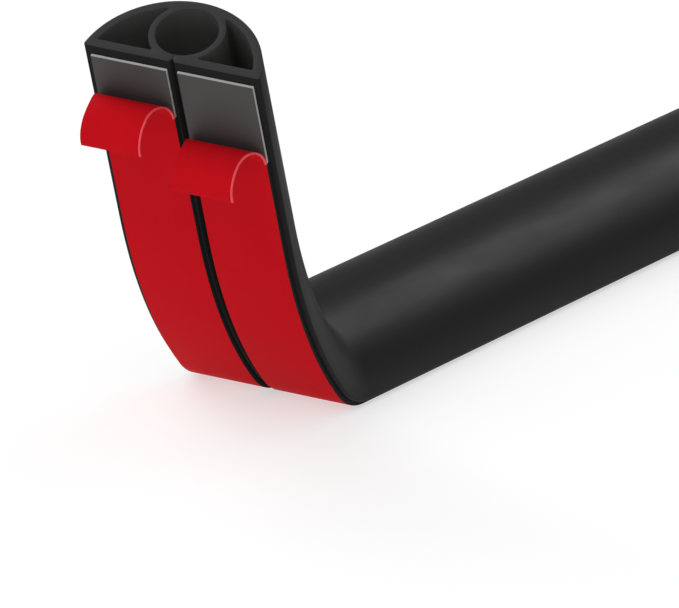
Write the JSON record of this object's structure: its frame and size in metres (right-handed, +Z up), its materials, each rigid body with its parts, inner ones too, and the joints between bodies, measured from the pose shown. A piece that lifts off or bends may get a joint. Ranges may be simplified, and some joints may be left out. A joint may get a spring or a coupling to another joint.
{
  "type": "floor cord cover",
  "caption": "D-section floor cord cover, flat with one end bent up, with a round cord bore, side chambers and adhesive tapes whose release liners are half peeled back.",
  "frame": {"origin": "on the floor, below the middle of the object's box", "axes": "+X along the cover from its bent-up end to its flat end, +Y across it, +Z up"},
  "size_m": [0.9578, 0.05, 0.1204],
  "materials": {
    "cover_rubber": "satin black extruded rubbery vinyl",
    "tape_adhesive": "dull dark grey adhesive",
    "liner_film": "smooth red release film with a soft sheen"
  },
  "bodies": {
    "root": {"cover_profile": "cover_rubber", "adhesive_tape_left": "tape_adhesive", "adhesive_tape_right": "tape_adhesive", "release_liner_left": "liner_film", "release_liner_right": "liner_film"}
  },
  "joints": []
}
